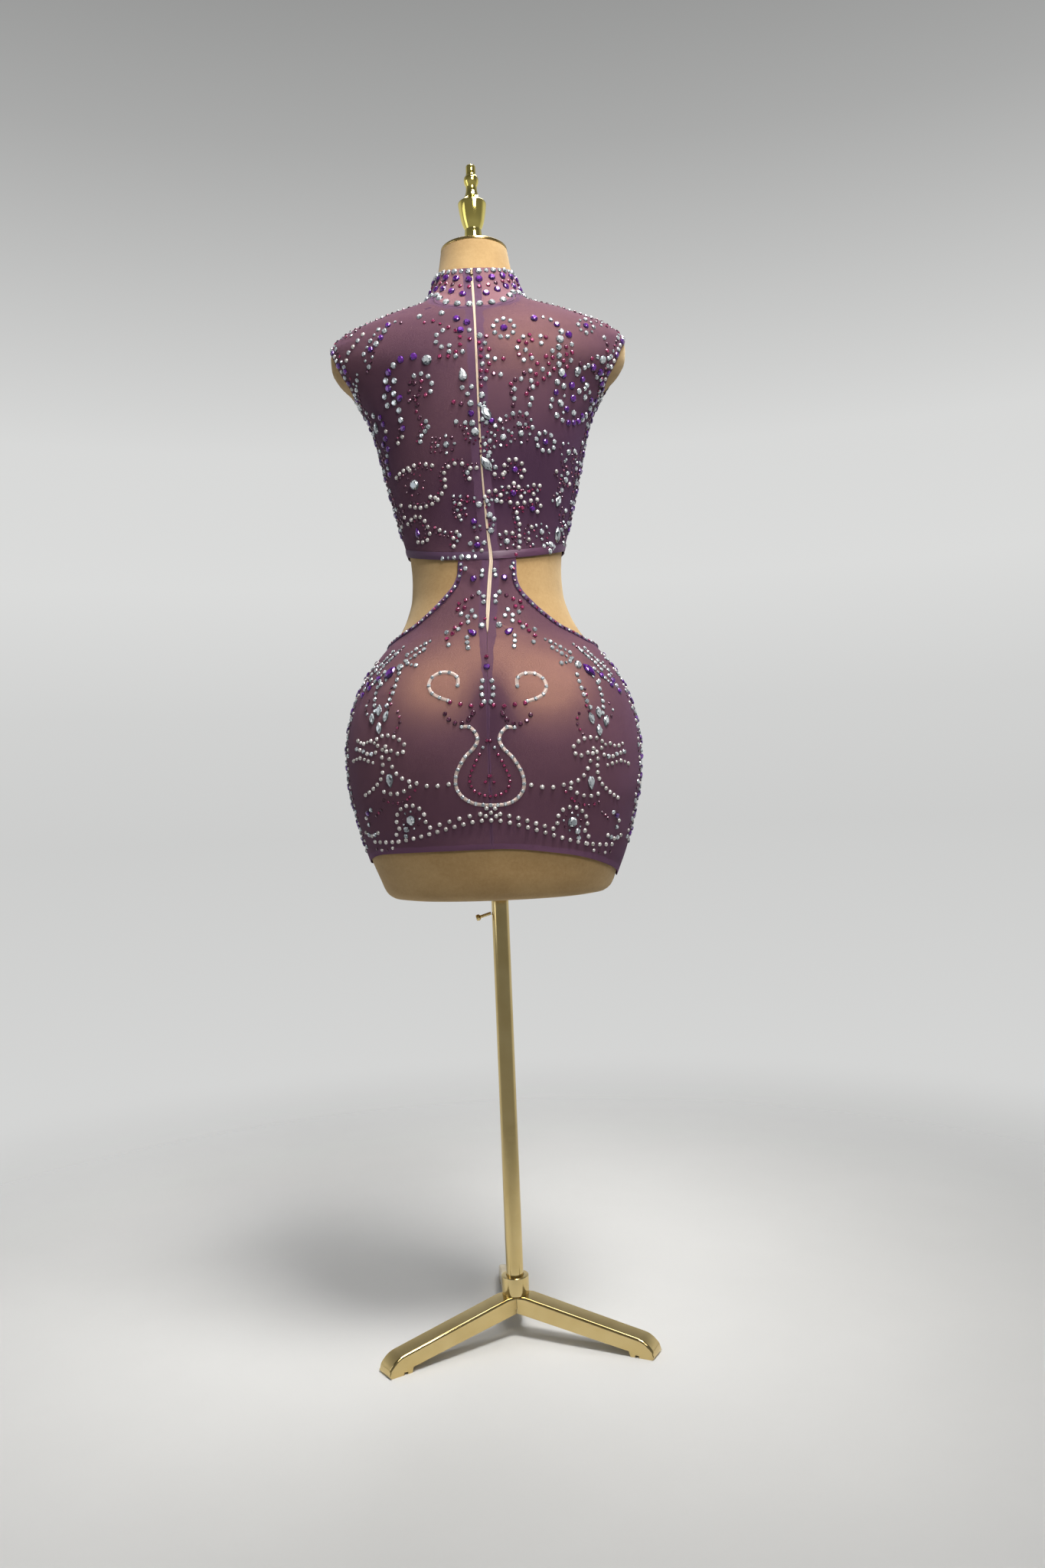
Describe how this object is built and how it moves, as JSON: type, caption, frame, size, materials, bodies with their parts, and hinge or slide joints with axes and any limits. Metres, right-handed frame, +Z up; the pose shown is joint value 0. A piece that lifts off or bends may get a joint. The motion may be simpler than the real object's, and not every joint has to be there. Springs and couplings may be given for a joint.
{
  "type": "cut-out mini dress on a dress form",
  "caption": "Close-fitting sleeveless mini dress with waist cut-outs, stand collar and back zip, worn by a limbless dress form on a height-adjustable stand.",
  "frame": {"origin": "on the floor, under the middle of the whole outline; the pole's axis stands 0.0294 m behind it, at y = -0.0294", "axes": "+Z up; +X to the dress's right as seen from behind; +Y towards the front of the dress, so its zip faces -Y"},
  "size_m": [0.376, 0.3221, 1.4936],
  "materials": {
    "mesh": "sheer plum stretch mesh, dull sheen",
    "doubled_mesh": "two layers of purple stretch mesh",
    "binding": "dark purple stretch binding",
    "zip_tape": "cream closed-end zip",
    "suede": "tan suede-like covering, soft nap",
    "brass": "satin brass",
    "polished_brass": "polished brass"
  },
  "bodies": {
    "stand": {"pole": "brass", "hub_ring": "brass", "leg_1": "brass", "leg_2": "brass", "leg_3": "brass"},
    "clamp": {"clamp_screw": "brass"},
    "rod": {"inner_rod": "brass"},
    "form": {"form_torso": "suede", "neck_cap": "polished_brass", "finial": "polished_brass", "bodice_front": "mesh", "bodice_back_left": "mesh", "bodice_back_right": "mesh", "bodice_band": "doubled_mesh", "collar": "doubled_mesh", "skirt_front": "mesh", "skirt_back_left": "mesh", "skirt_back_right": "mesh", "cutout_binding_left": "binding", "cutout_binding_right": "binding", "zip": "zip_tape", "zip_slider": "brass"}
  },
  "joints": [
    {"name": "height", "type": "slide", "parent": "stand", "child": "rod", "axis": [0, 0, 1], "range_m": [0, 0.25]},
    {"name": "swivel", "type": "hinge", "parent": "rod", "child": "form", "pos_m": [0, -0.02936, 0.559], "axis": [0, 0, 1], "continuous": true},
    {"name": "clamp_turn", "type": "hinge", "parent": "stand", "child": "clamp", "pos_m": [-0.0119, -0.02936, 0.537], "axis": [-0.9563, 0, -0.2924], "range_deg": [0, 270]}
  ]
}
